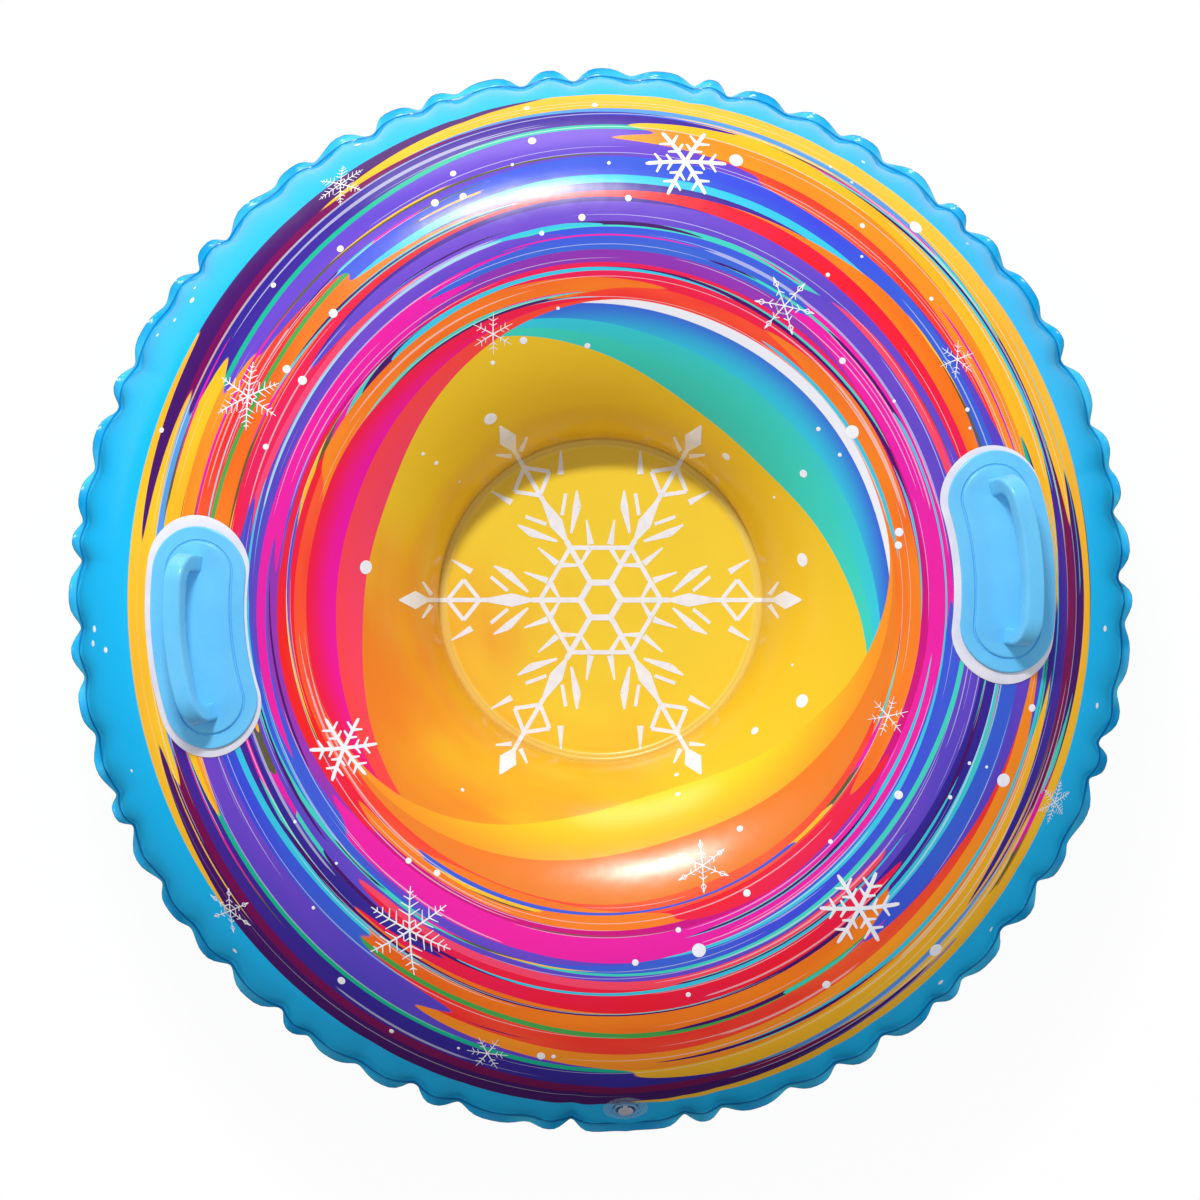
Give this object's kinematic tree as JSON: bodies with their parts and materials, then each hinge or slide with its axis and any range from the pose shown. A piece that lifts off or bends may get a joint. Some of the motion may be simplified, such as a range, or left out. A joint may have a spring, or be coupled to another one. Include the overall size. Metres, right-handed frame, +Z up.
{
  "type": "snow tube",
  "caption": "Inflatable ring-shaped snow tube: scalloped welded rim, thin recessed seat, moulded grab handles on backing patches and a push-in air valve.",
  "frame": {"origin": "centre of the ring, on the plane that its flattened underside rests on", "axes": "+Z up out of the seat; +X towards the right handle, which stands 5.45 degrees off it; the valve is close to -Y"},
  "size_m": [0.92, 0.92, 0.2927],
  "materials": {
    "printed_vinyl": "glossy printed PVC sheet, multicoloured stripes on a yellow and orange ground",
    "blue_vinyl": "glossy translucent sky blue PVC sheet",
    "white_vinyl": "satin off-white PVC sheet",
    "handle_blue": "satin light blue moulded soft PVC",
    "clear_vinyl": "clear moulded soft PVC",
    "milky_vinyl": "milky translucent moulded PVC"
  },
  "bodies": {
    "tube": {"top_skin": "printed_vinyl", "bottom_skin": "blue_vinyl", "right_handle_patch": "white_vinyl", "left_handle_patch": "white_vinyl", "right_handle": "handle_blue", "left_handle": "handle_blue", "valve_flange": "clear_vinyl"},
    "stem": {"valve_stem": "clear_vinyl"},
    "plug": {"valve_plug": "milky_vinyl"},
    "flap": {"check_flap": "clear_vinyl"}
  },
  "joints": [
    {"name": "valve_pull", "type": "slide", "parent": "tube", "child": "stem", "axis": [0.0438, -0.8851, 0.4634], "range_m": [0, 0.012]},
    {"name": "plug_swing", "type": "hinge", "parent": "stem", "child": "plug", "pos_m": [0.02146, -0.43745, 0.19246], "axis": [-0.9986, -0.052, -0.0049], "range_deg": [0, 165]},
    {"name": "flap_swing", "type": "hinge", "parent": "stem", "child": "flap", "pos_m": [0.02073, -0.42232, 0.18098], "axis": [0.9986, 0.052, 0.0049], "range_deg": [0, 60], "stiffness_Nm_per_rad": 0.001}
  ]
}
